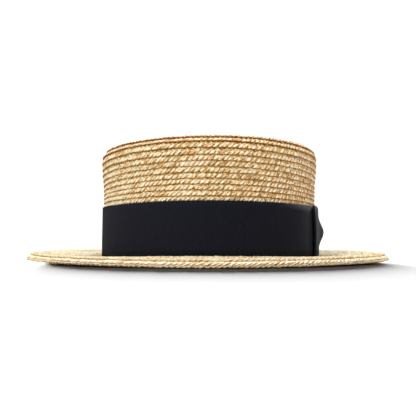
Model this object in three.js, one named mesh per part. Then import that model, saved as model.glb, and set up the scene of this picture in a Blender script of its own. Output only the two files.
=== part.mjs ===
// Straw boater hat: a stiff hat sewn from plaited straw, with a flat tip, an upright
// side, a flat brim, a wide ribbed ribbon and a flat bow on the wearer's left.
// Millimetres, +Z up. The hat stands on its brim at z = 0 with its middle over the
// origin. The front is -Y and the bow is on +X.

import * as THREE from 'three';

// Crown
const CROWN_HALF_WIDTH = 86.8; // outside of the straw at its foot, across the head
const HAT_HEIGHT = 87.6; // brim underside to the edge of the tip
const STRAW = 2.4; // two laps of plait
const WAIST_INSET = 0.75; // how far the side draws in above the ribbon
const WAIST_HEIGHT = 54;
const TOP_FLARE = 0.7; // how far it spreads past its foot, below the shoulder
const FLARE_HEIGHT = 77;
const SHOULDER_RADIUS = 8.5;
const TIP_DOME = 0.8;
const RIM_TILT = 0.6; // the tip is sewn this much higher on the left than level

// Brim
const BRIM_WIDTH = 57.2; // from the crown's foot to the edge
const BRIM_TOP = 5.3; // at the front and back of the crown
const EDGE_TOP = 4.8; // the edge is two plaits thick
const EDGE_WIDTH = 9;
const EDGE_BEVEL = 1.3;

// The crown's foot and the ribbon lie lower at the sides of the head than at the front
const SIDE_DROP = 2.4;
const RIM_DROP = 0.8;

// Ribbon and bow
const RIBBON = 1;
const RIBBON_WIDTH = 37;
const BOW_HALF_LENGTH = 52;
const BOW_FOOT = 0.5; // the bow starts this much above the ribbon's lower edge
const FOLD_REACH = 1.3; // between the two layers of a loop at its fold
const PINCH_REACH = 4.4; // between them where the knot gathers the loop
const PINCH_WIDTH = 19; // height of the gathered ribbon under the knot
const KNOT_WIDTH = 16;
const KNOT_HALF_HEIGHT = 13.5;
const KNOT_REACH = 7.4; // from the ribbon to the middle of the knot's wrap
const GAP = 0.3; // between pieces that touch

const SEGMENTS = 72;

// Every level outline of the hat is parallel to the others. It lies at one reach
// outside a small core ellipse, so the walls keep their thickness all the way round.
const CORE_X = 4;
const CORE_Y = 19;
const CORE_FULL_REACH = 60; // inside this reach, in the tip, the core shrinks to a point
const FOOT = CROWN_HALF_WIDTH - CORE_X;
const EDGE = FOOT + BRIM_WIDTH;

function ovalPoint(reach, angle, height) {
  const cos = Math.cos(angle);
  const sin = Math.sin(angle);
  const span = Math.hypot(CORE_X * cos, CORE_Y * sin);
  const core = Math.min(1, reach / CORE_FULL_REACH) / span;
  return new THREE.Vector3(
    (core * CORE_X ** 2 + reach) * cos,
    (core * CORE_Y ** 2 + reach) * sin,
    height,
  );
}

// How much lower than at the front a level line of the crown lies at this angle
function crownDrop(height, angle) {
  const share = THREE.MathUtils.clamp((height - RIBBON_WIDTH) / (HAT_HEIGHT - RIBBON_WIDTH), 0, 1);
  const drop = THREE.MathUtils.lerp(SIDE_DROP, RIM_DROP, share);
  return (drop * Math.cos(angle) - share * RIM_TILT) * Math.cos(angle);
}

// The same for the brim, whose edge lies flat on the ground
function brimDrop(reach, angle) {
  const flatFrom = EDGE - EDGE_WIDTH;
  const ribbonEdge = FOOT + GAP + RIBBON;
  const share = THREE.MathUtils.clamp((reach - ribbonEdge) / (flatFrom - ribbonEdge), 0, 1);
  return SIDE_DROP * (1 - share) * Math.cos(angle) ** 2;
}

// The outside of the crown's side at a height, as a reach from the core
function sideReach(height) {
  const toWaist = THREE.MathUtils.smoothstep(height, BRIM_TOP, WAIST_HEIGHT);
  const toFlare = THREE.MathUtils.smoothstep(height, WAIST_HEIGHT, FLARE_HEIGHT);
  return FOOT - WAIST_INSET * toWaist + (WAIST_INSET + TOP_FLARE) * toFlare;
}

function signedVolume(geometry) {
  const { index } = geometry;
  const place = geometry.attributes.position;
  const corners = [new THREE.Vector3(), new THREE.Vector3(), new THREE.Vector3()];
  let volume = 0;
  for (let i = 0; i < index.count; i += 3) {
    corners.forEach((corner, k) => corner.fromBufferAttribute(place, index.getX(i + k)));
    volume += corners[0].dot(corners[1].cross(corners[2])) / 6;
  }
  return volume;
}

// Turns every triangle round if the faces point inwards
function faceOutwards(geometry) {
  const { index } = geometry;
  if (signedVolume(geometry) < 0) {
    for (let i = 0; i < index.count; i += 3) {
      const first = index.getX(i);
      index.setX(i, index.getX(i + 2));
      index.setX(i + 2, first);
    }
  }
  geometry.computeVertexNormals();
  return geometry;
}

function moveVertices(geometry, place) {
  const position = geometry.attributes.position;
  for (let i = 0; i < position.count; i += 1) {
    const moved = place(position.getX(i), position.getY(i), position.getZ(i));
    position.setXYZ(i, moved.x, moved.y, moved.z);
  }
  return faceOutwards(geometry);
}

// A profile of [reach, height] turned round the hat's oval
function ovalRing(profile, drop) {
  const points = profile.map(([reach, height]) => new THREE.Vector2(reach, height));
  const ring = new THREE.LatheGeometry(points, SEGMENTS);
  ring.rotateX(Math.PI / 2);
  return moveVertices(ring, (x, y, z) => {
    const reach = Math.hypot(x, y);
    const angle = Math.atan2(y, x);
    return ovalPoint(reach, angle, z - drop(reach, z, angle));
  });
}

// The crown's skin from the foot to the middle of the tip, this far inside the straw
function crownSkin(depth) {
  const heights = [BRIM_TOP + GAP, 22, 38, WAIST_HEIGHT, 66, FLARE_HEIGHT];
  const side = heights.map((height) => [sideReach(height) - depth, height]);
  const radius = SHOULDER_RADIUS - depth;
  const turnReach = sideReach(FLARE_HEIGHT) - SHOULDER_RADIUS;
  const turnHeight = HAT_HEIGHT - SHOULDER_RADIUS;
  const shoulder = [0, 22, 45, 68, 90].map((degrees) => {
    const turn = THREE.MathUtils.degToRad(degrees);
    return [turnReach + radius * Math.cos(turn), turnHeight + radius * Math.sin(turn)];
  });
  const tip = [0.55, 0].map((share) => [
    turnReach * share,
    HAT_HEIGHT - depth + TIP_DOME * (1 - share ** 2),
  ]);
  return [...side, ...shoulder, ...tip];
}

function crown() {
  const outside = crownSkin(0);
  const inside = crownSkin(STRAW);
  return ovalRing([...outside.reverse(), ...inside], (reach, z, angle) => crownDrop(z, angle));
}

function brim() {
  const flatFrom = EDGE - EDGE_WIDTH;
  const ribbonEdge = FOOT + GAP + RIBBON;
  const middle = (ribbonEdge + flatFrom) / 2;
  const fieldTop = (reach) =>
    THREE.MathUtils.mapLinear(Math.max(reach, ribbonEdge), ribbonEdge, EDGE, BRIM_TOP, EDGE_TOP);
  const top = [FOOT - STRAW, ribbonEdge, middle, flatFrom, EDGE - EDGE_BEVEL].map((reach) => [
    reach,
    fieldTop(reach),
  ]);
  const edge = [
    [EDGE, EDGE_TOP - EDGE_BEVEL],
    [EDGE, EDGE_BEVEL],
    [EDGE - EDGE_BEVEL, 0],
    [flatFrom, 0],
  ];
  const underside = [flatFrom, middle, ribbonEdge, FOOT - STRAW].map((reach) => [
    reach,
    fieldTop(reach) - STRAW,
  ]);
  const profile = [...top, ...edge, ...underside, top[0]];
  return ovalRing(profile, (reach, z, angle) => brimDrop(reach, angle));
}

function hatBand() {
  const foot = BRIM_TOP + GAP;
  const heights = [foot, foot + RIBBON_WIDTH / 2, foot + RIBBON_WIDTH];
  const inside = heights.map((height) => [sideReach(height) + GAP, height]);
  const outside = heights.map((height) => [sideReach(height) + GAP + RIBBON, height]).reverse();
  return ovalRing([...inside, ...outside, inside[0]], (reach, z, angle) => crownDrop(z, angle));
}

// The line round the left side of the ribbon's outer face, from the front to the back
class RibbonLine extends THREE.Curve {
  getPoint(share, target = new THREE.Vector3()) {
    const reach = FOOT + GAP + RIBBON;
    return target.copy(ovalPoint(reach, (share - 0.5) * Math.PI, 0));
  }
}
const ribbonLine = new RibbonLine();

// A place on the bow: distance back along the ribbon, distance out from it, and height
function bowPoint(along, out, height) {
  const share = 0.5 + along / ribbonLine.getLength();
  const foot = ribbonLine.getPointAt(share);
  const tangent = ribbonLine.getTangentAt(share);
  const angle = Math.atan2(-tangent.x, tangent.y);
  const lean = sideReach(height) - FOOT;
  return new THREE.Vector3(
    foot.x + (out + lean) * tangent.y,
    foot.y - (out + lean) * tangent.x,
    height - crownDrop(height, angle),
  );
}

// A strip of ribbon along a path in a plane: path(share) gives a Vector2, and
// place(point, side) puts a point of the plane on the hat, side from -0.5 to 0.5
function ribbonStrip(steps, rows, path, place) {
  const strip = new THREE.BoxGeometry(1, 1, 1, steps, 1, rows);
  const nudge = 0.001;
  return moveVertices(strip, (x, y, z) => {
    const share = x + 0.5;
    const before = path(Math.max(0, share - nudge));
    const after = path(Math.min(1, share + nudge));
    const along = after.sub(before).normalize();
    const point = path(share);
    point.x += RIBBON * y * along.y;
    point.y -= RIBBON * y * along.x;
    return place(point, z);
  });
}

// A loop goes out flat on the ribbon, turns round at its fold and comes back over
// itself, wider apart and gathered to the pinch under the knot
function bowLoop(direction) {
  const firstOut = GAP + RIBBON / 2;
  const innerEnd = 1.5;
  const foldAt = BOW_HALF_LENGTH - (FOLD_REACH + RIBBON) / 2;
  const middle = BRIM_TOP + GAP + BOW_FOOT + (RIBBON_WIDTH - BOW_FOOT) / 2;
  const layerShare = 0.42; // of the path, for each of the two layers
  const path = (share) => {
    const way = share < 0.5 ? share : 1 - share;
    if (way < layerShare) {
      const along = THREE.MathUtils.mapLinear(way, 0, layerShare, innerEnd, foldAt);
      const gathered = 1 - THREE.MathUtils.smoothstep(along, 0, foldAt);
      const over = THREE.MathUtils.lerp(FOLD_REACH, PINCH_REACH, gathered);
      return new THREE.Vector2(along, share < 0.5 ? firstOut : firstOut + over);
    }
    const turn = THREE.MathUtils.mapLinear(share, layerShare, 1 - layerShare, -0.5, 0.5) * Math.PI;
    const radius = FOLD_REACH / 2;
    return new THREE.Vector2(
      foldAt + radius * Math.cos(turn),
      firstOut + radius + radius * Math.sin(turn),
    );
  };
  return ribbonStrip(24, 4, path, (point, side) => {
    const open = THREE.MathUtils.smoothstep(point.x, KNOT_WIDTH / 2, BOW_HALF_LENGTH * 0.7);
    const width = THREE.MathUtils.lerp(PINCH_WIDTH, RIBBON_WIDTH - BOW_FOOT, open);
    return bowPoint(direction * point.x, point.y, middle + side * width);
  });
}

// The wrap over the gathered middle, an arch from the ribbon and back to it
function bowKnot() {
  const middle = BRIM_TOP + GAP + BOW_FOOT + (RIBBON_WIDTH - BOW_FOOT) / 2;
  const foot = GAP + RIBBON / 2;
  const path = (share) => {
    const turn = Math.PI * share;
    const arch = Math.sin(turn) ** 0.3;
    return new THREE.Vector2(-KNOT_HALF_HEIGHT * Math.cos(turn), foot + (KNOT_REACH - foot) * arch);
  };
  return ribbonStrip(16, 2, path, (point, side) =>
    bowPoint(side * KNOT_WIDTH, point.y, middle + point.x));
}

function named(name, geometry, color, roughness) {
  const material = new THREE.MeshStandardMaterial({ color, roughness, metalness: 0 });
  const mesh = new THREE.Mesh(geometry, material);
  mesh.name = name;
  return mesh;
}

const hat = new THREE.Group();
hat.add(
  named('crown', crown(), '#dcb983', 0.6),
  named('brim', brim(), '#e0c9a0', 0.6),
  named('hat_band', hatBand(), '#1c1b22', 0.85),
  named('bow_front_loop', bowLoop(-1), '#1c1b22', 0.85),
  named('bow_back_loop', bowLoop(1), '#1c1b22', 0.85),
  named('bow_knot', bowKnot(), '#1c1b22', 0.85),
);

export default hat;
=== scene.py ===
# %% [markdown]
# # A straw boater, plait by plait
# A boater is sewn from one long flat plait of split wheat straw. The plait starts in
# the middle of the tip, runs round it in a spiral, turns down over the shoulder and
# goes on down the side, each row lapped over the next one and stitched to it. The
# brim is more rows of the same plait, with a second row under its edge. A ribbed
# ribbon goes round the foot of the crown and ends in a flat bow.
#
# This script models one stitch of the plait, repeats it, and lays the rows on the
# shape that the frame gives. Then it makes the ribbon in the same way, from one rib.

import math

import bpy
import numpy as np
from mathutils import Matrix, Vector


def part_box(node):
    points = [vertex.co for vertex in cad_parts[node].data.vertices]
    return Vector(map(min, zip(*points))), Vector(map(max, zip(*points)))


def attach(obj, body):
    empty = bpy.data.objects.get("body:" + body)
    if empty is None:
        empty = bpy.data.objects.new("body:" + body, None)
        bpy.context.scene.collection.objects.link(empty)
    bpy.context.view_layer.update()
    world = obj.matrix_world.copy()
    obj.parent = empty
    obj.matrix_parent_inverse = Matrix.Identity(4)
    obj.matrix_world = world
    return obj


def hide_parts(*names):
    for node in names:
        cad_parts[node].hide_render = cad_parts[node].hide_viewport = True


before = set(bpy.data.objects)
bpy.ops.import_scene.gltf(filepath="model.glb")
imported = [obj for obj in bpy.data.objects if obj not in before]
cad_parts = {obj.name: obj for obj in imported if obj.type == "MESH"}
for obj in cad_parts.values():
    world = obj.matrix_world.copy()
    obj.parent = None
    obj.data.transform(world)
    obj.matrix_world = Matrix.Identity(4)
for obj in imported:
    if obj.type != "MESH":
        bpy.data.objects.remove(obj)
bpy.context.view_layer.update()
bpy.ops.object.select_all(action="DESELECT")

# %% [markdown]
# ## The shape of the hat
# Every level outline of a boater runs parallel to the others, because the rows of
# plait all have one width. So the hat is drawn outside a small core ellipse: a
# **reach** is the distance out from the core, and an **angle** is the direction in
# which the outline faces there. Two scaled circles would be simpler, but the brim
# would then be wider at the front than at the side. The driving sizes below repeat
# the part's own, and the largest are read from the frame, all in millimetres.

# %% Sizes from the frame
MM = 0.001
CORE_X = 4.0
brim_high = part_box("brim")[1] / MM
crown_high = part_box("crown")[1] / MM
CORE_Y = CORE_X + brim_high.y - brim_high.x
EDGE = brim_high.x - CORE_X
BRIM_TOP = brim_high.z
BRIM_WIDTH = 57.2
FOOT = EDGE - BRIM_WIDTH
HAT_HEIGHT = 87.6
TIP_DOME = crown_high.z - HAT_HEIGHT
WAIST_INSET, WAIST_HEIGHT = 0.75, 54.0
TOP_FLARE, FLARE_HEIGHT = 0.7, 77.0
SHOULDER_RADIUS = 8.5
SIDE_DROP, RIM_DROP, RIM_TILT = 2.4, 0.8, 0.6
EDGE_TOP = 4.8
EDGE_WIDTH = 9.0  # the brim is level again this near its edge
GAP = 0.3
RIBBON_WIDTH = 37.0
RIBBON_SPACE = 1.3  # the brim's first stretch, under the ribbon
print(f"core {CORE_X} x {CORE_Y:.1f}, foot reach {FOOT:.1f}, edge reach {EDGE:.1f}")

# %% [markdown]
# ## Places on the hat
# A stiff hat is shaped on a block, and the block's outline is what these functions
# hold. The foot of the crown and the ribbon lie a little lower at the sides of the
# head than at the front, which gives a worn hat its gentle curve. A lattice could
# bend a straight hat in this way, but functions of reach, angle and height are
# exact, and they place the plait, the ribbon and the bow alike.


# %% Functions of the outline
def smooth(value, low, high):
    """0 below low, 1 above high, and a soft step between them."""
    share = np.clip((value - low) / (high - low), 0, 1)
    return share * share * (3 - 2 * share)


def side_reach(height):
    """The outside of the crown's side: drawn in at the waist, spread at the top."""
    waist = smooth(height, BRIM_TOP, WAIST_HEIGHT)
    flare = smooth(height, WAIST_HEIGHT, FLARE_HEIGHT)
    return FOOT - WAIST_INSET * waist + (WAIST_INSET + TOP_FLARE) * flare


def crown_drop(reach, height, angle):
    """How much lower a level line of the crown lies here, at any reach, than at the front."""
    share = np.clip((height - RIBBON_WIDTH) / (HAT_HEIGHT - RIBBON_WIDTH), 0, 1)
    drop = SIDE_DROP + (RIM_DROP - SIDE_DROP) * share
    return (drop * np.cos(angle) - share * RIM_TILT) * np.cos(angle)


def brim_drop(reach, angle):
    """The same for the brim, which is level again near its edge."""
    sloping = BRIM_WIDTH - EDGE_WIDTH - RIBBON_SPACE
    share = np.clip((reach - FOOT - RIBBON_SPACE) / sloping, 0, 1)
    return SIDE_DROP * (1 - share) * np.cos(angle) ** 2


TURN_REACH = side_reach(FLARE_HEIGHT) - SHOULDER_RADIUS  # where the tip meets the shoulder


def oval(reach, angle, height):
    """The points at these reaches, angles and heights, as rows of x, y, z."""
    cos, sin = np.cos(angle), np.sin(angle)
    span = np.hypot(CORE_X * cos, CORE_Y * sin)
    # Inside the tip the core shrinks to a point with the reach
    core = np.clip(reach / TURN_REACH, 0, 1) / span
    x = (core * CORE_X**2 + reach) * cos
    y = (core * CORE_Y**2 + reach) * sin
    return np.stack([x, y, np.broadcast_to(height, x.shape)], axis=-1)


print(f"the tip's flat part ends at reach {TURN_REACH:.1f}")

# %% [markdown]
# ## Meridians
# A meridian is the hat's outline from the middle of the tip outwards, as reach and
# height. Rows of plait are placed by their distance along it. It could be a curve
# object, but short arrays are easier to measure along, and they also give the
# direction that is outwards at every point.


# %% A meridian
class Meridian:
    """An outline of the hat, as reaches and heights, to be read by distance along it."""

    def __init__(self, reaches, heights):
        self.reach, self.height = np.array(reaches, float), np.array(heights, float)
        steps = np.hypot(np.diff(self.reach), np.diff(self.height))
        self.along = np.concatenate([[0], np.cumsum(steps)])
        forward_reach = np.gradient(self.reach, self.along)
        forward_height = np.gradient(self.height, self.along)
        length = np.hypot(forward_reach, forward_height)
        self.out_reach = -forward_height / length
        self.out_height = forward_reach / length

    def at(self, along, out):
        """Reach and height at a distance along the meridian and out from it."""

        def read(values):
            return np.interp(along, self.along, values)

        reach = read(self.reach) + out * read(self.out_reach)
        height = read(self.height) + out * read(self.out_height)
        past = np.maximum(along - self.along[-1], 0)
        return reach + past * self.out_height[-1], height - past * self.out_reach[-1]


# %% [markdown]
# ## The crown's and the brim's meridian
# The crown's has a slightly domed tip, a quarter circle for the shoulder and the
# waisted side. The brim's is flat, with its last row bent down over the edge, as
# the sewer pulls it. Each is put together from its plain stretches, because a fitted
# curve through a few points would round off the shoulder.

# %% Meridians of the crown and brim
tip_reaches = np.linspace(0, TURN_REACH, 80)
turns = np.radians(np.linspace(90, 0, 24))[1:]
turn_height = HAT_HEIGHT - SHOULDER_RADIUS
side_heights = np.linspace(turn_height, BRIM_TOP + GAP, 80)[1:]
crown_line = Meridian(
    [
        *tip_reaches,
        *(TURN_REACH + SHOULDER_RADIUS * np.cos(turns)),
        *side_reach(side_heights),
    ],
    [
        *(HAT_HEIGHT + TIP_DOME * (1 - (tip_reaches / TURN_REACH) ** 2)),
        *(turn_height + SHOULDER_RADIUS * np.sin(turns)),
        *side_heights,
    ],
)
RIM_ALONG = crown_line.along[len(tip_reaches)]  # where the shoulder starts

BRIM_LAP = 2.4  # the brim starts this far inside the crown's foot
FOOT_SINK, EDGE_SINK = 0.2, 0.35  # the plait's outside lies this much below the brim's top
NOSE_WIDTH, NOSE_DROP = 3.4, 3.8  # the last row bends down over the edge
flat_reaches = np.linspace(FOOT - BRIM_LAP, EDGE - NOSE_WIDTH, 60)
flat_heights = np.interp(flat_reaches, (FOOT, EDGE), (BRIM_TOP - FOOT_SINK, EDGE_TOP - EDGE_SINK))
bends = np.radians(np.linspace(0, 85, 24))[1:]
brim_line = Meridian(
    [*flat_reaches, *(EDGE - NOSE_WIDTH * (1 - np.sin(bends)))],
    [*flat_heights, *(flat_heights[-1] - NOSE_DROP * (1 - np.cos(bends)))],
)
print(f"crown meridian {crown_line.along[-1]:.1f} mm, brim meridian {brim_line.along[-1]:.1f} mm")

# %% [markdown]
# ## One stitch of plait
# A flat plait is made of straws that run slantwise from edge to edge and turn back at
# each edge. A straw lies on the face in the lower half of the plait and behind in the
# upper half; the straw that crosses it does the opposite. So one repeat is two
# flattened straws that cross, with a flat backing behind them. Each one is extruded
# ring by ring, as by hand: the front one from a six-sided ring and the others from
# four-sided ones. A curve with a bevel would give them far more faces, and this
# small shape is repeated thousands of times.

# %% Sizes of the straws
PITCH = 3.4  # from one straw to the next along the plait
PLAIT_WIDTH = 6.2
LEAN = math.radians(46)
CROSSING = PLAIT_WIDTH / math.tan(LEAN) + 0.1  # where the falling straw starts, along the plait
STRAW_HALF_THICKNESS = 0.42

# Stations along a straw: distance along it, out from the plait's middle, half width
RISING_STRAW = [
    (-0.70, -0.52, 0.90),
    (-0.30, 0.00, 1.12),
    (0.75, 0.42, 1.12),
    (2.60, 0.48, 1.10),
    (4.50, -0.10, 1.04),
    (8.30, -0.36, 0.95),
]
FALLING_STRAW = [(0.20, -0.42, 1.05), (8.30, 0.42, 1.05)]
BACKING = [(-0.05, -0.12, 2.40), (3.45, -0.12, 2.40)]


def make_straw(name, sides, stations, lean, shift, rise=0):
    """One straw: extruded along X from its first station, then leant and moved."""
    start, out, half_width = stations[0]
    bpy.ops.mesh.primitive_circle_add(
        vertices=sides, radius=MM, fill_type="NGON", rotation=(math.pi / 2, 0, math.pi / 2)
    )
    straw = bpy.context.object
    straw.name = name
    bpy.ops.object.transform_apply(location=False, rotation=True, scale=False)
    bpy.ops.object.mode_set(mode="EDIT")
    bpy.ops.mesh.select_all(action="SELECT")
    flattened = (1, half_width, -STRAW_HALF_THICKNESS)
    bpy.ops.transform.resize(value=flattened, center_override=(0, 0, 0))
    bpy.ops.transform.translate(value=(start * MM, 0, out * MM))
    for (x, z, width), (next_x, next_z, next_width) in zip(stations, stations[1:]):
        move = ((next_x - x) * MM, 0, (next_z - z) * MM)
        bpy.ops.mesh.extrude_region_move(TRANSFORM_OT_translate={"value": move})
        centre = (next_x * MM, 0, next_z * MM)
        bpy.ops.transform.resize(value=(1, next_width / width, 1), center_override=centre)
    bpy.ops.mesh.select_all(action="SELECT")
    bpy.ops.mesh.normals_make_consistent(inside=False)
    bpy.ops.object.mode_set(mode="OBJECT")
    # Where each point is on the straw, for the fibres in its material
    lengths = np.zeros(len(straw.data.vertices) * 3, np.float32)
    straw.data.vertices.foreach_get("co", lengths)
    fibre = straw.data.attributes.new("fibre", "FLOAT_VECTOR", "POINT")
    fibre.data.foreach_set("vector", lengths / MM)
    straw.rotation_euler.z = lean
    straw.location = (shift * MM, rise * MM, 0)
    bpy.ops.object.transform_apply(location=True, rotation=True, scale=False)
    return straw


# %% The straws of a stitch, joined
rising = make_straw("rising_straw", 6, RISING_STRAW, LEAN, 0)
falling = make_straw("falling_straw", 4, FALLING_STRAW, math.pi - LEAN, CROSSING)
backing = make_straw("backing", 4, BACKING, 0, 0, PLAIT_WIDTH / 2)
rising_points = len(rising.data.vertices)
for straw in (rising, falling, backing):
    straw.select_set(True)
bpy.context.view_layer.objects.active = rising
bpy.ops.object.join()
stitch = rising
stitch.name = "stitch"
stitch_points = len(stitch.data.vertices)
stitch.data.calc_loop_triangles()
print(f"a stitch has {stitch_points} points and {len(stitch.data.loop_triangles)} triangles")
bpy.ops.object.select_all(action="DESELECT")

# %% [markdown]
# ## Laying the plait
# An Array modifier repeats the stitch into a long flat plait. A Curve modifier could
# bend it round the crown, but it can't also turn it over the shoulder, so the points
# are moved by a short function instead. It reads the flat plait as a map: how far
# along the row a point is, how far up from the row's lower edge, and how far out.
# The lower edge of each row stands out over the next row, as sewn plait does.

# %% Rows
LAP = 0.9  # the lower edge stands out this much more than the upper one
STRAW_DEPTH = 1.65  # from the hat's outside to the middle of the plait's upper edge
SAMPLES = 360  # points a turn on a row's path
FOLD_LINE = 0.15  # below this, the straws fold back round the plait's edge
FOLD_PRESS = 0.15  # what is left of their reach below it, once pressed
EYE = 0.2  # the plait's first turn leaves a hole of this radius


class Row:
    """A path for the lower edge of the plait: its angles and distances along a meridian."""

    def __init__(self, line, drop, angles, alongs, lap=LAP, depth=STRAW_DEPTH):
        self.line, self.drop, self.lap, self.depth = line, drop, lap, depth
        self.angles, self.alongs, self.moved = angles, alongs, 0 * angles
        path = self.place(alongs, angles, 0)
        steps = np.linalg.norm(np.diff(path, axis=0), axis=1)
        self.travel = np.concatenate([[0], np.cumsum(steps)])
        self.length = self.travel[-1]

    def place(self, along, angle, out, moved=0):
        """Points of the hat by distance along the meridian, moved in by moved."""
        reach, height = self.line.at(along, out)
        reach = np.maximum(reach - moved, EYE)
        return oval(reach, angle, height - self.drop(reach, height, angle))

    def lay(self, points):
        """Moves points of the flat plait onto the hat."""
        travel, up, out = points.T
        angle = np.interp(travel, self.travel, self.angles)
        edge = np.interp(travel, self.travel, self.alongs)
        moved = np.interp(travel, self.travel, self.moved)
        up = np.where(up < FOLD_LINE, FOLD_LINE + FOLD_PRESS * (up - FOLD_LINE), up)
        rise = self.lap * (1 - up / PLAIT_WIDTH)
        return self.place(edge - up, angle, out + rise - self.depth, moved)


def waves(angle, seed, size):
    """A gentle unevenness of hand-guided sewing, a sum of a few slow waves."""
    rng = np.random.default_rng(seed)
    total = np.zeros_like(angle)
    for count in (3.3, 7.1, 12.7, 19.9, 31.3):
        total += rng.uniform(0.4, 1) * np.sin(count * angle + rng.uniform(0, 6.3)) / 2.2
    return size * total


# %% [markdown]
# ## The crown's spiral
# The plait of a real crown is one unbroken spiral, sewn from the middle of the tip
# outwards, so the rows on the side aren't level rings: each ends one row lower than
# it began. Rings would be easier to count, but the spiral is what the eye follows
# from above. The spacing of the rows changes on the way, because the sewer laps them
# more on the side, and the rows sag a little at the sides of the head.

# %% The spiral's path
# Row spacing by distance below the rim
SPACING_AT = (-75, -6, 2, 16, 22, 90)
SPACING = (4.1, 4.4, 4.85, 4.85, 3.93, 3.93)
SIDE_DIP = 2.8  # the rows sag this much more at the sides than the hat's own outline
DIP_START, DIP_END = (-8, 8), (32, 48)  # below the rim, where the sag comes and goes
FIRST_ALONG = 4.3
SPIRAL_START = math.radians(60)
SEWING_WAVE = 0.22

spiral_along = [FIRST_ALONG]
while spiral_along[-1] < crown_line.along[-1] + 1.0:
    below_rim = spiral_along[-1] - RIM_ALONG
    spiral_along.append(spiral_along[-1] + np.interp(below_rim, SPACING_AT, SPACING) / SAMPLES)
spiral_along = np.array(spiral_along)
spiral_angle = SPIRAL_START + 2 * math.pi / SAMPLES * np.arange(len(spiral_along))
dip_starts, dip_ends = (
    smooth(spiral_along, RIM_ALONG + low, RIM_ALONG + high) for low, high in (DIP_START, DIP_END)
)
dip = SIDE_DIP * (dip_starts * (1 - dip_ends)) * np.cos(spiral_angle) ** 2
unevenness = waves(spiral_angle, 5, SEWING_WAVE) * smooth(spiral_along, 4, 40)
crown_row = Row(crown_line, crown_drop, spiral_angle, spiral_along + dip + unevenness)
print(f"the crown takes {crown_row.length / 1000:.1f} m of plait in {len(spiral_along) / SAMPLES:.1f} turns")

# %% [markdown]
# ## Straw after straw
# No two straws are alike. Each one gets its own tint, sits a little in or out and is
# shifted a little, with neighbours alike for a few stitches, as the same few straws
# come back in a plait. The tint could come from a noise texture in space, but that
# would cut across the straws, so it is stored on the mesh for the material to read.

# %% Helpers for points and repeats
random = np.random.default_rng(11)
BEHIND_PAINTED_SHADE = 0.55  # the straw that lies behind is darkened, as painted shade
BASE_TINT, SHARED_TINT, OWN_TINT = 0.25, 0.2, 0.35
SHARED_STITCHES = 5
LOOSE_ALONG, LOOSE_UP, LOOSE_OUT = 0.3, 0.12, 0.09


def points_of(piece):
    """The piece's points in millimetres, as rows of x, y, z."""
    found = np.zeros(len(piece.data.vertices) * 3, np.float32)
    piece.data.vertices.foreach_get("co", found)
    return found.reshape(-1, 3).astype(float) / MM


def set_points(piece, points):
    """Moves the piece's points to these places in millimetres."""
    piece.data.vertices.foreach_set("co", (points * MM).astype(np.float32).ravel())
    piece.data.update()


def set_number(piece, name, values):
    """Stores one number for each point, for a material to read."""
    attribute = piece.data.attributes.new(name, "FLOAT", "POINT")
    attribute.data.foreach_set("value", values.astype(np.float32))


def in_a_line(name, unit, count, pitch, merge=False):
    """A new object: count copies of the unit along X, made by an Array modifier."""
    line = unit.copy()
    line.data = unit.data.copy()
    line.name = name
    bpy.context.collection.objects.link(line)
    bpy.context.view_layer.objects.active = line
    array = line.modifiers.new("repeats", "ARRAY")
    array.count = count
    array.use_relative_offset = False
    array.use_constant_offset = True
    array.constant_offset_displace = (pitch * MM, 0, 0)
    array.use_merge_vertices = merge
    array.merge_threshold = 0.01 * MM
    bpy.ops.object.modifier_apply(modifier=array.name)
    return line


def straw_tints(count):
    """A tint from 0 to 1 for both straws of each stitch, the one behind darkened as painted shade."""
    knots = np.arange(0, count + 9, SHARED_STITCHES)
    slow = np.interp(np.arange(count), knots, random.uniform(0, 1, len(knots)))
    own = random.uniform(0, 1, (count, 2))
    return (BASE_TINT + SHARED_TINT * slow[:, None] + OWN_TINT * own) * (1.0, BEHIND_PAINTED_SHADE)


# %% From a flat plait to rows on the hat
def lay_plait(name, row, first, count, pitch, wear_and_shade=1.0, slant=0.0, painted_light=0.0):
    """Lays stitches first to first + count on a row, as one piece."""
    plait = in_a_line(name, stitch, count, pitch)
    points = points_of(plait)
    order = np.arange(len(points))
    which = order // stitch_points
    kind = (order % stitch_points >= rising_points).astype(int)
    loose = random.normal(0, 1, (count, 2, 3))[which, kind]
    points[:, 0] += first * pitch + slant * points[:, 1] + LOOSE_ALONG * loose[:, 0]
    points[:, 1] += LOOSE_UP * loose[:, 1]
    points[:, 2] += LOOSE_OUT * loose[:, 2]
    # How strongly the fold's brown and the painted shade between rows darken each stitch
    set_number(plait, "wear_and_shade", np.broadcast_to(wear_and_shade, count)[which])
    # The brightness added to the tint, on the brim, is painted light for a brim that faces up into the lamps
    set_number(plait, "tint", painted_light + straw_tints(count)[which, kind])
    set_number(plait, "across", np.clip(points[:, 1] / PLAIT_WIDTH, 0, 1))
    set_points(plait, row.lay(points))
    plait.data.shade_smooth()
    return plait


def join_pieces(name, pieces):
    """One piece from several, with the name given."""
    for piece in pieces:
        piece.select_set(True)
    bpy.context.view_layer.objects.active = pieces[0]
    bpy.ops.object.join()
    pieces[0].name = name
    bpy.ops.object.select_all(action="DESELECT")
    return pieces[0]


# %% [markdown]
# ## The crown's plait, in three lengths
# The spiral is laid as three pieces that follow on from each other: the tip with its
# shoulder, the side that shows, and the foot behind the ribbon. A real crown is one
# length of plait, and one object could hold it, but shorter pieces stay light to
# edit and to export, and the joins can't be seen between two stitches.

# %% The crown's pieces
SIDE_START, FOOT_START = 12, 53  # below the rim, where the next piece starts
TIP_WEAR_AND_SHADE = 0.3  # the tip's rows lie so flat that less fold brown and painted shade goes between them

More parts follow.
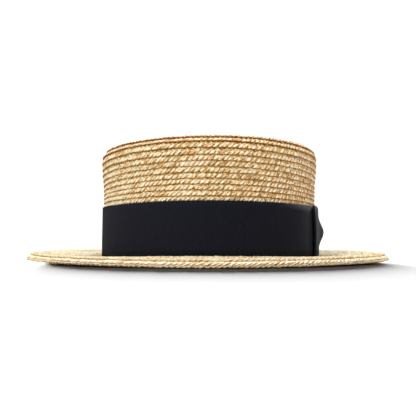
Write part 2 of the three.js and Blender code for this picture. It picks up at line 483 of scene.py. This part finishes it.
crown_stitches = int(crown_row.length / PITCH) - 2
stitch_alongs = np.interp(PITCH * np.arange(crown_stitches), crown_row.travel, spiral_along)
side_start = int(np.searchsorted(stitch_alongs, RIM_ALONG + SIDE_START))
foot_start = int(np.searchsorted(stitch_alongs, RIM_ALONG + FOOT_START))
shoulder = smooth(stitch_alongs[:side_start], RIM_ALONG - 1, RIM_ALONG + 3)
tip_wear_and_shade = TIP_WEAR_AND_SHADE + (1 - TIP_WEAR_AND_SHADE) * shoulder
crown_tip = lay_plait("crown_tip", crown_row, 0, side_start, PITCH, tip_wear_and_shade)
crown_side = lay_plait("crown_side", crown_row, side_start, foot_start - side_start, PITCH)
crown_foot = lay_plait("crown_foot", crown_row, foot_start, crown_stitches - foot_start, PITCH)
print("crown stitches:", side_start, foot_start - side_start, crown_stitches - foot_start)

# %% [markdown]
# ## The brim
# The real brim goes on with the crown's spiral. Here its rows are laid as closed
# rings, each from a whole number of stitches, because the brim's edge is then a
# clean line all the way round, and one row can't be told from a turn of the spiral.
# The first ring starts at the head opening. The last one bends down a little, and
# under it lies one more ring, so the edge is two plaits thick and shows two ropes.
# The real brim isn't quite true, so its edge is set off and lifted a little.

# %% The path of a ring
BRIM_IN, BRIM_OFF = 0.5, 1.2  # the brim is this much smaller, and off centre to the right
EDGE_LIFT, EDGE_TILT = 1.6, 0.35  # the edge stands higher at the sides, most at the left
LIFT_START, LIFT_END = 15, 4  # out from the foot and in from the edge
FRONT_REST = 0.15  # rounds off the line between the level front and the lifted side
RING_WAVE = 0.12


def edge_rise(reach, height, angle):
    """The brim's drop near the crown, and the lift of its edge at the sides."""
    share = smooth(reach, FOOT + LIFT_START, EDGE - LIFT_END)
    sideways = np.hypot(np.cos(angle), FRONT_REST) - FRONT_REST
    return brim_drop(reach, angle) - (EDGE_LIFT - EDGE_TILT * np.cos(angle)) * share * sideways


def ring(line, along, seed, **how):
    """A closed row whose outer edge lies this far along the meridian."""
    # Two turns, because the last straws of a ring reach past its end
    angles = np.linspace(0, 4 * math.pi, 2 * SAMPLES + 1) + seed
    across_waves = waves(np.cos(angles) * 3, seed, RING_WAVE)
    along_waves = waves(np.sin(angles) * 3, seed + 50, RING_WAVE)
    path = Row(line, edge_rise, angles, along + (across_waves + along_waves), **how)
    share = np.clip((np.interp(along, line.along, line.reach) - FOOT) / BRIM_WIDTH, 0, 1)
    path.moved = share * (BRIM_IN + BRIM_OFF * (1 + np.cos(angles)))
    return path


# By default a ring is lightened as painted light, because the brim faces up into the lamps
def lay_ring(name, row, wear_and_shade=0.3, slant=0.0, painted_light=0.15):
    """A whole number of stitches, spread evenly over a closed row."""
    one_turn = row.length / 2
    count = round(one_turn / PITCH)
    return lay_plait(name, row, 0, count, one_turn / count, wear_and_shade, slant, painted_light)


# %% The brim's rings
BRIM_ROWS = 14
INNER_ROWS = 8
UNDER_HEIGHT = 0.3
UNDER_REACH = 0.6  # the under row stands out this far past the edge

ring_alongs = np.linspace(PLAIT_WIDTH, brim_line.along[-1], BRIM_ROWS)
rings = []
for number, along in enumerate(ring_alongs[:-1]):
    rings.append(lay_ring(f"brim_row_{number}", ring(brim_line, along, number)))
last_row = ring(brim_line, ring_alongs[-1], BRIM_ROWS)
# The last row and the under row get more painted light, and more fold brown and painted shade, than the
# other rings
rings.append(lay_ring("brim_last_row", last_row, wear_and_shade=0.6, slant=0.7, painted_light=0.2))
brim_inner = join_pieces("brim_inner", rings[:INNER_ROWS])
brim_outer = join_pieces("brim_outer", rings[INNER_ROWS:])

under_reaches = np.linspace(EDGE - 12, EDGE + UNDER_REACH, 12)
under_line = Meridian(under_reaches, np.full(len(under_reaches), UNDER_HEIGHT))
under_row = ring(under_line, under_line.along[-1], 77, lap=0, depth=0)
brim_edge = lay_ring("brim_edge", under_row, wear_and_shade=0.5, slant=0.4, painted_light=0.3)
print("visual brim box, mm:", [round(v * 1000, 1) for v in brim_outer.dimensions])

# %% [markdown]
# ## Grosgrain ribbon
# Grosgrain is woven with thick threads across it, so it has a rib about every
# millimetre, and each rib ends in a small tooth at the ribbon's edge. The ribs could
# be bump alone, but then the edge would be a smooth line and the exported mesh bare.
# So one rib is a narrow grid with its middle lines raised. An Array modifier joins
# ribs into a ribbon, which is laid by a function and then given its thickness.

# %% One rib
RIB = 1.9  # real ribs are about 1 mm apart, and these are coarser so that they show
RIB_HEIGHT = 0.12
RIB_TOOTH = 0.8
RIB_PROFILE = ((0.25, 0.7), (0.5, 1.0), (0.75, 0.7))  # share of the rib, share of its height


def pick(piece, test):
    """Selects the points where test holds, given their places in mm, in edit mode."""
    bpy.ops.object.mode_set(mode="EDIT")
    bpy.ops.mesh.select_all(action="DESELECT")
    bpy.ops.object.mode_set(mode="OBJECT")
    for vertex in piece.data.vertices:
        vertex.select = bool(test(vertex.co / MM))
    bpy.ops.object.mode_set(mode="EDIT")


def near(value, other):
    return abs(value - other) < 0.01


def make_rib(name, width, rows):
    """One rib of ribbon, from its lower edge at Y = 0 to its upper one at Y = width."""
    bpy.ops.mesh.primitive_grid_add(x_subdivisions=4, y_subdivisions=rows, size=MM)
    rib = bpy.context.object
    rib.name = name
    bpy.ops.object.mode_set(mode="EDIT")
    bpy.ops.transform.resize(value=(RIB, width, 1), center_override=(0, 0, 0))
    bpy.ops.transform.translate(value=(RIB / 2 * MM, width / 2 * MM, 0))
    for share, height in RIB_PROFILE:
        pick(rib, lambda place: near(place.x, share * RIB))
        bpy.ops.transform.translate(value=(0, 0, height * RIB_HEIGHT * MM))
    for edge, out in ((0, -RIB_TOOTH), (width, RIB_TOOTH)):
        pick(rib, lambda place: near(place.x, RIB / 2) and near(place.y, edge))
        bpy.ops.transform.translate(value=(0, out * MM, 0))
    bpy.ops.object.mode_set(mode="OBJECT")
    rib.select_set(False)
    return rib


wide_rib = make_rib("wide_rib", RIBBON_WIDTH, 8)
print(f"a rib has {len(wide_rib.data.polygons)} faces")

# %% [markdown]
# ## From ribs to ribbon
# The flat ribbon keeps each point's flat place in an attribute, so the pattern in
# its material stays straight on the cloth however it is folded. A UV map would do
# the same, but an attribute holds real millimetres. The thickness is added last, to
# both sides of the sheet, once its faces all point one way.

# %% Ribbon from a rib
RIBBON_THICKNESS = 0.45


def weave(name, rib, count):
    """A flat ribbon of count ribs, with its own flat places kept for the material."""
    ribbon = in_a_line(name, rib, count, RIB, merge=True)
    flat = points_of(ribbon)
    kept = ribbon.data.attributes.new("weave", "FLOAT_VECTOR", "POINT")
    kept.data.foreach_set("vector", flat.astype(np.float32).ravel())
    return ribbon, flat


def thicken(ribbon, closed=False):
    """Joins the ends of a ring, turns the faces one way and gives the thickness."""
    bpy.ops.object.select_all(action="DESELECT")
    ribbon.select_set(True)
    bpy.context.view_layer.objects.active = ribbon
    bpy.ops.object.mode_set(mode="EDIT")
    bpy.ops.mesh.select_all(action="SELECT")
    if closed:
        bpy.ops.mesh.remove_doubles(threshold=0.05 * MM)
    bpy.ops.mesh.normals_make_consistent(inside=False)
    bpy.ops.object.mode_set(mode="OBJECT")
    solid = ribbon.modifiers.new("thickness", "SOLIDIFY")
    solid.thickness = RIBBON_THICKNESS * MM
    solid.offset = 0
    bpy.ops.object.modifier_apply(modifier=solid.name)
    ribbon.data.shade_smooth()
    ribbon.select_set(False)


# %% [markdown]
# ## The band
# The ribbon is pulled round the foot of the crown and stands on the brim. Its ends
# meet at the side, under the bow's knot, so it is laid as a ring that starts there.
# A Shrinkwrap modifier could pull it onto the straw, but it would then follow every
# plait, and a real ribbon is stretched flat over them.

# %% The band round the crown
BAND_SINK = 0.4  # its lower edge is pressed this far in between the brim's straws
BAND_FOOT = BRIM_TOP + GAP - BAND_SINK
BAND_OUT = GAP + 0.3  # from the straw's outside to the middle of the ribbon

round_angles = np.linspace(0, 2 * math.pi, 1441)
round_points = oval(np.full(round_angles.shape, FOOT + BAND_OUT), round_angles, 0)
round_steps = np.linalg.norm(np.diff(round_points, axis=0), axis=1)
round_travel = np.concatenate([[0], np.cumsum(round_steps)])
band_length = round_travel[-1]
band_ribs = round(band_length / RIB)
print(f"the band is {band_length:.0f} mm long and has {band_ribs} ribs")


def round_the_crown(travel, height, out):
    """Points of a ribbon round the crown: distance from the bow, height and reach out."""
    angle = np.interp(travel % band_length, round_travel, round_angles)
    angle = np.where(travel >= band_length, 0, angle)
    reach = side_reach(height) + BAND_OUT + out
    return oval(reach, angle, height - crown_drop(reach, height, angle))


hat_band, flat = weave("hat_ribbon", wide_rib, band_ribs)
stretch = band_length / (band_ribs * RIB)
set_points(hat_band, round_the_crown(flat[:, 0] * stretch, BAND_FOOT + flat[:, 1], flat[:, 2]))
thicken(hat_band, closed=True)

# %% [markdown]
# ## The bow
# A boater's bow is flat: a ribbon folded to the front and to the back, gathered in
# the middle, and bound by a short piece of the same ribbon. The loops keep their
# full width at the folds and rise in pleats towards the knot. The folds stand a
# little off the band. Cloth simulation could gather them, but this ribbon is stiff
# and pressed, so its few pleats are drawn by a function of the flat ribbon.

# %% The two loops
BOW_MIDDLE = BAND_FOOT + 0.5 + RIBBON_WIDTH / 2
BOW_REACH = 52.8  # from the knot's middle to a fold
LOOP_INNER_END = 1.5
FOLD_RADIUS = 0.5
LOOP_OUT = 0.8  # from the middle of the band's ribbon to that of a loop's lower layer
PINCH_HALF = 8.5  # half the ribbon's width where it is gathered
OPENING_AT = (8, 15, 22, 30, 40, 51)  # from the knot's middle
OPENING = (0.08, 0.42, 0.68, 0.85, 0.95, 1)  # from gathered to full width
PLEAT_RISE, PLEAT_DEPTH = 5.2, 0.7
PLEATS_AT, PLEATS_SPREAD = 6, 11
FOLD_LIFT, FOLD_LIFT_LENGTH = 1.1, 13
loop_straight = BOW_REACH - FOLD_RADIUS - LOOP_INNER_END
loop_length = 2 * loop_straight + math.pi * FOLD_RADIUS
loop_ribs = round(loop_length / RIB)


def loop_points(flat, side):
    """A folded and gathered loop: out along the band, round the fold and back."""
    travel = flat[:, 0] * loop_length / (loop_ribs * RIB)
    turn = np.clip((travel - loop_straight) / FOLD_RADIUS, 0, math.pi)
    back = np.maximum(travel - loop_straight - math.pi * FOLD_RADIUS, 0)
    along = LOOP_INNER_END + np.minimum(travel, loop_straight) - back + FOLD_RADIUS * np.sin(turn)
    layer = (1 - np.cos(turn)) / 2
    across = 2 * flat[:, 1] / RIBBON_WIDTH - 1
    opened = np.interp(along, OPENING_AT, OPENING)
    half = PINCH_HALF + (RIBBON_WIDTH / 2 - PINCH_HALF) * opened
    rise = np.exp(-(((along - PLEATS_AT) / PLEATS_SPREAD) ** 2))
    pleats = PLEAT_DEPTH * rise * np.cos(3.2 * math.pi * across)
    inside = np.clip(1 - across**2, 0, 1)
    raised = layer * (PLEAT_RISE * rise * inside**0.8 + pleats)
    at_fold = smooth(along, BOW_REACH - FOLD_LIFT_LENGTH, BOW_REACH)
    lifted = FOLD_LIFT * at_fold * (1 - 0.75 * across**2)
    out = LOOP_OUT + 2 * FOLD_RADIUS * layer + raised + lifted - flat[:, 2] * np.cos(turn)
    return round_the_crown(side * along, BOW_MIDDLE + half * across, out)


loops = {}
for name, side in (("front", -1), ("back", 1)):
    loops[name], flat = weave(f"bow_{name}_ribbon", wide_rib, loop_ribs)
    set_points(loops[name], loop_points(flat, side))
    thicken(loops[name])
print(f"a loop has {loop_ribs} ribs in {loop_length:.0f} mm")

# %% [markdown]
# ## The knot
# The knot is a short ribbon, folded to less than half its width, that runs up over
# the gathered loops and is sewn behind them. Its ribs lie level. A bent tube would
# look like cord here, so it is a flat ribbon laid over an arch, its edges rolled in.

# %% The knot over the loops
KNOT_WIDTH = 15.0
KNOT_HALF_HEIGHT = 13.5
KNOT_OUT = 7.3
KNOT_WAIST = 0.86  # its width on top of the loops, as a share of that at its ends
KNOT_ROLL = 0.9
knot_turns = np.linspace(-1, 1, 401)


def knot_arch(share):
    """How far out the knot's ribbon lies, by height from -1 to 1."""
    return KNOT_OUT * np.clip(1 - np.hypot(share, 0.22) ** 1.5, 0, 1) ** 0.95 / 0.9


knot_steps = np.hypot(np.diff(knot_turns * KNOT_HALF_HEIGHT), np.diff(knot_arch(knot_turns)))
knot_travel = np.concatenate([[0], np.cumsum(knot_steps)])
knot_length = knot_travel[-1]
knot_ribs = round(knot_length / RIB)
narrow_rib = make_rib("narrow_rib", KNOT_WIDTH, 6)
bow_knot, flat = weave("knot_ribbon", narrow_rib, knot_ribs)
share = np.interp(flat[:, 0] * knot_length / (knot_ribs * RIB), knot_travel, knot_turns)
across = 2 * flat[:, 1] / KNOT_WIDTH - 1
knot_along = across * KNOT_WIDTH / 2 * (KNOT_WAIST + (1 - KNOT_WAIST) * np.abs(share))
out = LOOP_OUT + knot_arch(share) + flat[:, 2] - KNOT_ROLL * np.abs(across) ** 4
height = BOW_MIDDLE + KNOT_HALF_HEIGHT * share
set_points(bow_knot, round_the_crown(knot_along, height, out))
thicken(bow_knot)
print(f"the knot has {knot_ribs} ribs in {knot_length:.0f} mm")

# %% [markdown]
# ## Colours and nodes
# Colours are written as sRGB hex values, and turned to linear for the shader. One small
# function adds a node, sets it and links its inputs.
# Nodes could be drawn by hand in the shader editor, but written down they can be
# read from top to bottom, in the order in which the finish is built up.


# %% Helpers for materials
def linear(code):
    """An sRGB hex colour as linear red, green, blue and alpha."""
    parts = [int(code[i : i + 2], 16) / 255 for i in (1, 3, 5)]
    return [p / 12.92 if p <= 0.04045 else ((p + 0.055) / 1.055) ** 2.4 for p in parts] + [1]


def add(material, kind, inputs=None, **settings):
    """Adds a node with settings, and gives each input a value or a link."""
    tree = material.node_tree
    made = tree.nodes.new(kind)
    for name, value in settings.items():
        setattr(made, name, value)
    for name, value in (inputs or {}).items():
        if isinstance(value, bpy.types.NodeSocket):
            tree.links.new(value, made.inputs[name])
        else:
            made.inputs[name].default_value = value
    return made


def ramp(material, factor, stops):
    """A colour ramp from pairs of place and hex colour."""
    made = add(material, "ShaderNodeValToRGB", {"Fac": factor})
    elements = made.color_ramp.elements
    while len(elements) < len(stops):
        elements.new(0.5)
    for element, (place, code) in zip(elements, stops):
        element.position = place
        element.color = linear(code)
    return made.outputs["Color"]


def new_material(name, **values):
    """A material whose shader is joined to the output, with values on its own sockets."""
    material = bpy.data.materials.new(name)
    material.use_nodes = True
    material.node_tree.nodes.clear()
    shader = add(material, "ShaderNodeBsdfPrincipled", values)
    add(material, "ShaderNodeOutputMaterial", {"Surface": shader.outputs["BSDF"]})
    return material, shader


# %% [markdown]
# ## Wheat straw
# Split wheat straw keeps the plant's waxy skin, so it shines like thin varnish over a
# pale, fibrous body. Its colour runs from near-white cream through gold to tan. One
# noise in space could mottle the whole hat, but real fibres run along each straw, so
# the pattern reads the straw's own coordinates, shifted by its tint.

# %% Straw: colour and fibres
# Plaited split straw: pale gold with fine streaks, and a soft gloss on each straw
straw_material, straw_shader = new_material("plaited_wheat_straw", Roughness=0.3, IOR=1.5)
straw_links = straw_material.node_tree.links
# Real fibres are about 0.1 mm apart, and these are coarser so that they show
FIBRE_LENGTH, FIBRE_SPACING = 10 / 3, 2 / 3
FIBRE_CONTRAST = 3.4
MIDDLE_SHADE = 1.56  # brings the streaks' middle down to the ramp's

tint = add(straw_material, "ShaderNodeAttribute", attribute_name="tint").outputs["Fac"]
fibre = add(straw_material, "ShaderNodeAttribute", attribute_name="fibre").outputs["Vector"]
offset = add(straw_material, "ShaderNodeMath", {0: tint, 1: 97.0}, operation="MULTIPLY")
shifted = add(
    straw_material,
    "ShaderNodeVectorMath",
    {0: fibre, 1: offset.outputs[0]},
    operation="ADD",
)
stretched = add(
    straw_material,
    "ShaderNodeMapping",
    {"Vector": shifted.outputs[0], "Scale": (1 / FIBRE_LENGTH, 1 / FIBRE_SPACING, 1.0)},
)
streaks = add(
    straw_material,
    "ShaderNodeTexNoise",
    {"Vector": stretched.outputs[0], "Scale": 1.0, "Detail": 3.0},
).outputs["Fac"]
mixed = add(
    straw_material,
    "ShaderNodeMath",
    {0: streaks, 1: FIBRE_CONTRAST, 2: tint},
    operation="MULTIPLY_ADD",
)
shade = add(
    straw_material,
    "ShaderNodeMath",
    {0: mixed.outputs[0], 1: MIDDLE_SHADE},
    operation="SUBTRACT",
)
straw_colour = ramp(
    straw_material,
    shade.outputs[0],
    [
        (0.05, "#9C6E2C"),
        (0.25, "#C99C5A"),
        (0.42, "#DFB774"),
        (0.56, "#EFD698"),
        (0.72, "#FCEEBE"),
        (0.92, "#FFFCE8"),
    ],
)
bump = add(
    straw_material,
    "ShaderNodeBump",
    {"Height": streaks, "Strength": 0.35, "Distance": 0.12 * MM},
)
straw_links.new(bump.outputs["Normal"], straw_shader.inputs["Normal"])
print("straw streaks, mm:", round(FIBRE_LENGTH, 1), "by", round(FIBRE_SPACING, 1))

# %% [markdown]
# ## Where the plait is folded, and painted shade between rows
# The skin cracks where a straw is folded at the plait's edge, and shows the brown
# inside; the same dark band is also painted shade, for the gap under each row. Under
# the next row's edge the straw is darkened as painted shade. Both follow the plait,
# so they are a ramp across it that multiplies the straw's colour. Painting them on
# an image would need a UV map of thousands of straws.

# %% Straw: worn edges and painted shade between rows
across_plait = add(straw_material, "ShaderNodeAttribute", attribute_name="across").outputs["Fac"]
wear_and_shade = add(straw_material, "ShaderNodeAttribute", attribute_name="wear_and_shade").outputs["Fac"]
# Darker at the plait's lower edge: partly the cracked fold's brown, partly painted shade in the gap under
# the row. Darker towards the upper edge: painted shade under the next row.
worn_fold_and_painted_shade = ramp(
    straw_material,
    across_plait,
    [
        (0.0, "#9A5C14"),
        (0.05, "#BE7C28"),
        (0.09, "#F6D49A"),
        (0.13, "#FFFFFF"),
        (0.66, "#FFFFFF"),
        (0.85, "#C99A5C"),
    ],
)
straw_with_wear_and_shade = add(
    straw_material,
    "ShaderNodeMix",
    {"Factor": wear_and_shade},
    data_type="RGBA",
    blend_type="MULTIPLY",
)
straw_links.new(straw_colour, straw_with_wear_and_shade.inputs["A"])
straw_links.new(worn_fold_and_painted_shade, straw_with_wear_and_shade.inputs["B"])
straw_links.new(straw_with_wear_and_shade.outputs["Result"], straw_shader.inputs["Base Color"])
print("straw material:", len(straw_material.node_tree.nodes), "nodes")

# %% [markdown]
# ## Blue-black ribbon
# The ribbon is dyed rayon or cotton. It is nearly black, with a touch of blue, and
# dull. The threads along it are fine lines over the ribs. They could be modelled
# too, but they are far finer than the ribs, so they are uneven colour and bump that
# read the flat ribbon's own millimetres.

# %% Ribbon material
# Woven grosgrain: dull and nearly black, with a faint unevenness along the threads
ribbon_material, ribbon_shader = new_material(
    "woven_grosgrain", **{"Roughness": 0.75, "Specular IOR Level": 0.1, "Sheen Weight": 0.02}
)
ribbon_links = ribbon_material.node_tree.links
# Real threads are about 0.15 mm apart, and these are a little coarser so that they show
THREAD_LENGTH, THREAD_SPACING = 5 / 3, 1 / 4
woven = add(ribbon_material, "ShaderNodeAttribute", attribute_name="weave").outputs["Vector"]
threads = add(
    ribbon_material,
    "ShaderNodeMapping",
    {"Vector": woven, "Scale": (1 / THREAD_LENGTH, 1 / THREAD_SPACING, 1.0)},
)
uneven = add(
    ribbon_material,
    "ShaderNodeTexNoise",
    {"Vector": threads.outputs[0], "Scale": 1.0},
).outputs["Fac"]
ribbon_colour = ramp(ribbon_material, uneven, [(0.3, "#08090F"), (0.7, "#1B1D2C")])
ribbon_links.new(ribbon_colour, ribbon_shader.inputs["Base Color"])
ribbon_bump = add(
    ribbon_material,
    "ShaderNodeBump",
    {"Height": uneven, "Strength": 0.3, "Distance": 0.08 * MM},
)
ribbon_links.new(ribbon_bump.outputs["Normal"], ribbon_shader.inputs["Normal"])
print("ribbon material:", len(ribbon_material.node_tree.nodes), "nodes")

# %% [markdown]
# ## Onto the frame
# Every piece rides on the hat's one body, stands for a node of the CAD model, which
# is then hidden, and gets its material here. The CAD nodes could stay and get these
# materials, but they are plain walls without plaits or ribs. The ribbons' cut widths
# and lengths are listed with them.


# %% Pieces on the frame
def finish_piece(piece, node, material):
    """Gives a piece its material and its place in the frame."""
    piece.data.materials.clear()
    piece.data.materials.append(material)
    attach(piece, "root")
    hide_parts(node)


crown_pieces = (crown_tip, crown_side, crown_foot)
brim_pieces = (brim_inner, brim_outer, brim_edge)
for pieces, node in ((crown_pieces, "crown"), (brim_pieces, "brim")):
    for piece in pieces:
        finish_piece(piece, node, straw_material)

# piece, node, cut width and length, how it is held and what it lies on
ribbons = (
    (hat_band, "hat_band", RIBBON_WIDTH, band_length, "stretched", (crown_foot, brim_inner)),
    (loops["front"], "bow_front_loop", RIBBON_WIDTH, loop_length, "folded", (hat_band,)),
    (loops["back"], "bow_back_loop", RIBBON_WIDTH, loop_length, "folded", (hat_band,)),
    (bow_knot, "bow_knot", KNOT_WIDTH, knot_length, "folded", (loops["front"], loops["back"])),
)
for piece, node, width, length, held, under in ribbons:
    finish_piece(piece, node, ribbon_material)
for unit in (wide_rib, narrow_rib, stitch):
    bpy.data.objects.remove(unit)
print(len(crown_pieces) + len(brim_pieces), "straw pieces and", len(ribbons), "ribbons")

# %% [markdown]
# ## Floor and backdrop
# The hat stands on a plain white table in front of plain white. The table lies a
# millimetre low, because the plait's underside isn't as flat as the CAD brim's. It
# has no gloss, or the low lamp would glare in it. The backdrop could be a curved
# screen, but that would be in the way of lamps and of other views, so it is the
# world: bright where the camera looks at it, and dim in the light that it gives.

# %% Table and world
TABLE_DROP = 1.0
ROOM_LIGHT, BACKDROP_LIGHT = 0.07, 1.05

bpy.ops.mesh.primitive_plane_add(size=12, location=(0, 0, -TABLE_DROP * MM))
floor = bpy.context.object
floor.name = "floor"
floor_material, _ = new_material(
    "matt_white_table",
    **{"Base Color": linear("#E0E0E0"), "Roughness": 0.9, "Specular IOR Level": 0.0},
)
floor.data.materials.append(floor_material)

world = bpy.data.worlds.new("studio")
world.use_nodes = True
path = add(world, "ShaderNodeLightPath")
seen = add(
    world,
    "ShaderNodeMapRange",
    {"Value": path.outputs["Is Camera Ray"], "To Min": ROOM_LIGHT, "To Max": BACKDROP_LIGHT},
)
backdrop = world.node_tree.nodes["Background"]
backdrop.inputs["Color"].default_value = (1, 1, 1, 1)
world.node_tree.links.new(seen.outputs["Result"], backdrop.inputs["Strength"])
bpy.context.scene.world = world
print("the world gives", ROOM_LIGHT, "and shows", BACKDROP_LIGHT)

# %% [markdown]
# ## Cards for the shadow
# The soft shadow in front of the hat comes from a low lamp behind it. Its light
# would slip in under the brim and through the head opening, so two cards lie inside
# the brim and close it, as black card stops light in a studio. The brim
# alone could cast the shadow, but then a bright patch would lie in the middle of it.

# %% Cards inside the brim
CARD_HALF_SIZE = (122, 150)
CARD_MIDDLE = (-4, 7)
CARD_HEIGHTS = {"upper_card": 3.0, "lower_card": 0.3}

cards = []
for name, height in CARD_HEIGHTS.items():
    bpy.ops.mesh.primitive_circle_add(vertices=96, radius=MM, fill_type="NGON")
    card = bpy.context.object
    card.name = name
    card.location = Vector((*CARD_MIDDLE, height)) * MM
    card.scale = (*CARD_HALF_SIZE, 1)
    card.visible_camera = False
    card.visible_diffuse = False
    card.visible_glossy = False
    cards.append(card)
print(len(cards), "cards")

# %% [markdown]
# ## Lamps
# Straw wants soft light from the upper left, dark ribbon wants a little light from
# the side to show its folds, and the white table must stay white in front of them.
# One softbox can't do all three, so a studio holds flags before its lamps. Light
# linking does that here: each lamp lights only the pieces that it is meant for. All
# are suns, because their light is as strong at the back of the brim as at the front.


# %% Lamps and what they light
def sun(name, direction, strength, spread, colour=(1, 1, 1)):
    """A sun that shines from this direction, with its spread in degrees."""
    data = bpy.data.lights.new(name, "SUN")
    data.energy = strength
    data.angle = math.radians(spread)
    data.color = colour
    made = bpy.data.objects.new(name, data)
    bpy.context.collection.objects.link(made)
    made.location = direction
    made.rotation_euler = (-Vector(direction)).to_track_quat("-Z", "Y").to_euler()
    return made


def grouped(name, pieces):
    """A collection of pieces, for light linking."""
    group = bpy.data.collections.new(name)
    for piece in pieces:
        group.objects.link(piece)
    return group


ribbon_pieces = [ribbon[0] for ribbon in ribbons]
lit_hat = grouped("lit_hat", (*crown_pieces, *brim_pieces, *ribbon_pieces))
lit_crown = grouped("lit_crown", crown_pieces)
lit_brim = grouped("lit_brim", brim_pieces)
lit_ribbon = grouped("lit_ribbon", ribbon_pieces)
lit_table = grouped("lit_table", (floor,))

key = sun("key", (-0.6, -0.8, 0.9), 1.8, 30, (1, 0.94, 0.85))
top = sun("top", (0.05, 0.3, 1.0), 1.65, 60)
dome = sun("dome", (0.0, -0.3, 1.0), 1.1, 175)
warm = sun("warm", (1.0, -0.4, 0.3), 0.4, 40, (1, 0.5, 0.2))
low = sun("low", (-0.12, 1.0, 0.060), 78, 6)
fill = sun("fill", (0.0, -1.0, 0.12), 0.6, 40)
side = sun("side", (0.7, 0.9, 0.9), 3.5, 12)
lamps = (
    (key, lit_hat),
    (top, lit_hat),
    (dome, lit_hat),
    (warm, lit_crown),
    (fill, lit_brim),
    (side, lit_ribbon),
    (low, lit_table),
)
for lamp, lit in lamps:
    lamp.light_linking.receiver_collection = lit
low.light_linking.blocker_collection = grouped("brim_shadow", (*cards, brim_inner))
print(len(lamps), "lamps")

# %% [markdown]
# ## Camera
# The camera looks straight at the front of the hat from just above the brim, half a
# metre away, so the brim shows as a thin oval. It is kept level and its lens is
# shifted up instead: tilting it would make the crown's sides lean together.

# %% The camera
CAMERA_PLACE = (-1.0, -500, 17.1)
camera_data = bpy.data.cameras.new("camera")
camera = bpy.data.objects.new("camera", camera_data)
bpy.context.collection.objects.link(camera)
camera.location = Vector(CAMERA_PLACE) * MM
camera.rotation_euler = (math.pi / 2, 0, 0)
camera_data.sensor_width = 36
camera_data.lens = 51.45
camera_data.shift_y = 0.0719
camera_data.clip_start, camera_data.clip_end = 0.01, 50
bpy.context.scene.camera = camera
bpy.context.scene.view_settings.view_transform = "Standard"
print("camera height above the table, mm:", round(CAMERA_PLACE[2] + TABLE_DROP, 1))
